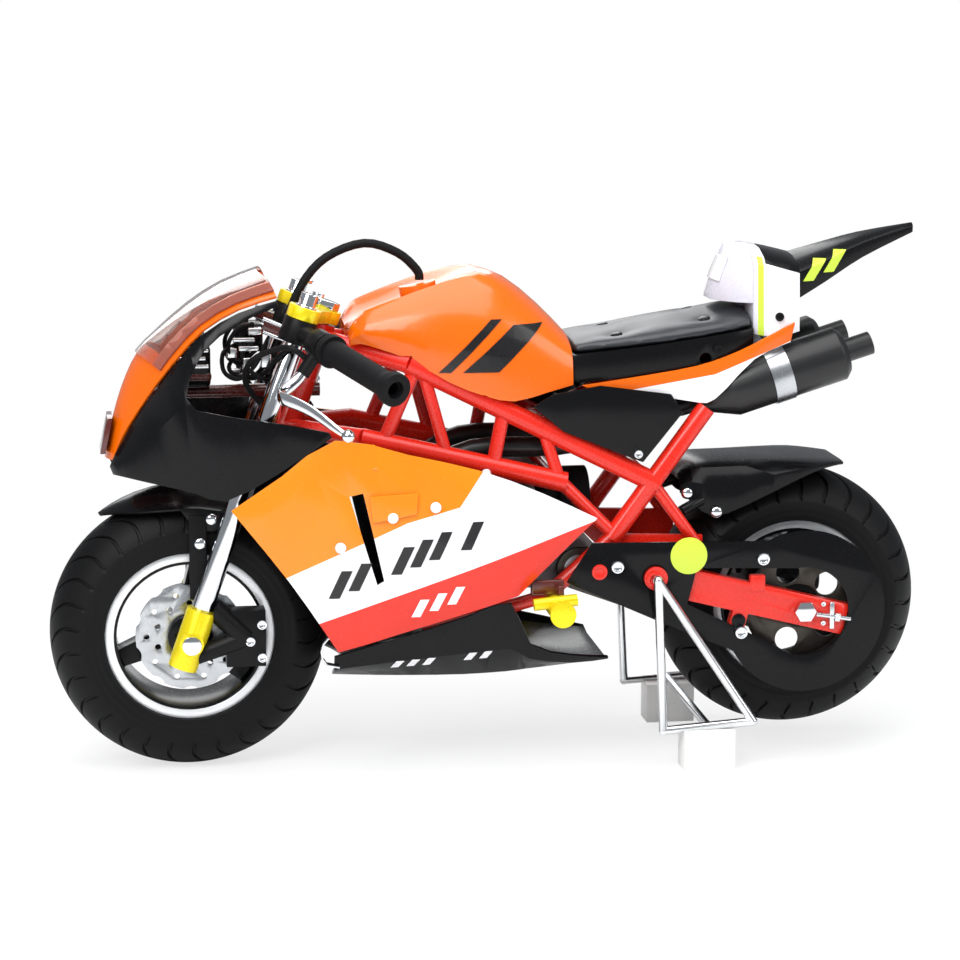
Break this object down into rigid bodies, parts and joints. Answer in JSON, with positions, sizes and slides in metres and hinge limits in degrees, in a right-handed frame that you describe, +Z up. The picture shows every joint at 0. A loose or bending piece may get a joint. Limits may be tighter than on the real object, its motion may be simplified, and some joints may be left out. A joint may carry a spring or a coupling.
{
  "type": "pocket racing minibike",
  "caption": "Small petrol racing minibike with full fairing, trellis frame, low-profile tyres, twin under-seat mufflers and a chrome wire rear stand",
  "frame": {"origin": "on the floor under the middle of the length and width", "axes": "+X forward, +Y to the rider's left, +Z up"},
  "size_m": [0.9036, 0.4514, 0.548],
  "materials": {
    "tyre_rubber": "matt moulded rubber",
    "cast_black": "gloss black paint, bright rim edge",
    "steel": "brushed",
    "chain_steel": "oiled",
    "chrome": "polished",
    "gold_metal": "gold anodised",
    "black_metal": "satin black",
    "black_rubber": "matt",
    "red_metal": "gloss red",
    "black_plastic": "gloss black",
    "engine_alloy": "cast",
    "black_steel": "gloss black",
    "pipe_steel": "heat-stained",
    "orange_plastic": "gloss orange",
    "white_plastic": "gloss white",
    "seat_vinyl": "black vinyl",
    "clear_screen": "clear, faint tint",
    "dark_red": "gloss",
    "pale_plastic": "matt"
  },
  "bodies": {
    "chassis": {"frame": "red_metal", "swingarm": "red_metal", "chain_guard": "black_plastic", "rear_fender": "black_plastic", "engine_block": "engine_alloy", "engine_cylinder": "engine_alloy", "air_filter": "black_plastic", "mufflers": "black_steel", "muffler_bands": "steel", "exhaust_pipe": "pipe_steel", "tank_cover": "orange_plastic", "tank_cap": "black_plastic", "breather_hose": "black_rubber", "seat_pad": "seat_vinyl", "seat_base": "black_plastic", "tail_sides": "white_plastic", "tail_hump": "white_plastic", "tail_wing": "black_plastic", "side_covers": "black_plastic", "front_cowl": "orange_plastic", "windscreen": "clear_screen", "nose_cheeks": "black_plastic", "nose_plate": "dark_red", "nose_stay": "black_metal", "side_fairings": "orange_plastic", "belly_pan": "black_plastic", "footpegs": "gold_metal", "rear_caliper": "black_metal", "stand_wire": "chrome", "stand_feet": "pale_plastic", "drive_sprocket": "steel", "chain": "chain_steel", "rear_axle_bolt": "chrome"},
    "steering": {"fork_tubes": "chrome", "fork_clamps": "gold_metal", "upper_yoke": "gold_metal", "lower_yoke": "black_metal", "steering_stem": "chrome", "handlebars": "black_metal", "grips": "black_rubber", "lever_perches": "black_metal", "levers": "chrome", "front_fender": "black_plastic", "front_caliper": "black_metal", "steering_cables": "black_rubber", "front_axle_bolt": "chrome"},
    "front_wheel": {"front_tyre": "tyre_rubber", "front_rim": "cast_black", "front_disc": "steel"},
    "rear_wheel": {"rear_tyre": "tyre_rubber", "rear_rim": "cast_black", "rear_disc": "steel", "rear_sprocket": "steel"}
  },
  "joints": [
    {"name": "steering_turn", "type": "hinge", "parent": "chassis", "child": "steering", "pos_m": [0.22042, 0, 0.32118], "axis": [-0.3338, 0, 0.9426], "range_deg": [-20, 20]},
    {"name": "front_wheel_spin", "type": "hinge", "parent": "steering", "child": "front_wheel", "pos_m": [0.31075, 0, 0.141], "axis": [0, 1, 0], "continuous": true},
    {"name": "rear_wheel_spin", "type": "hinge", "parent": "chassis", "child": "rear_wheel", "pos_m": [-0.31425, 0, 0.1595], "axis": [0, 1, 0], "continuous": true}
  ]
}
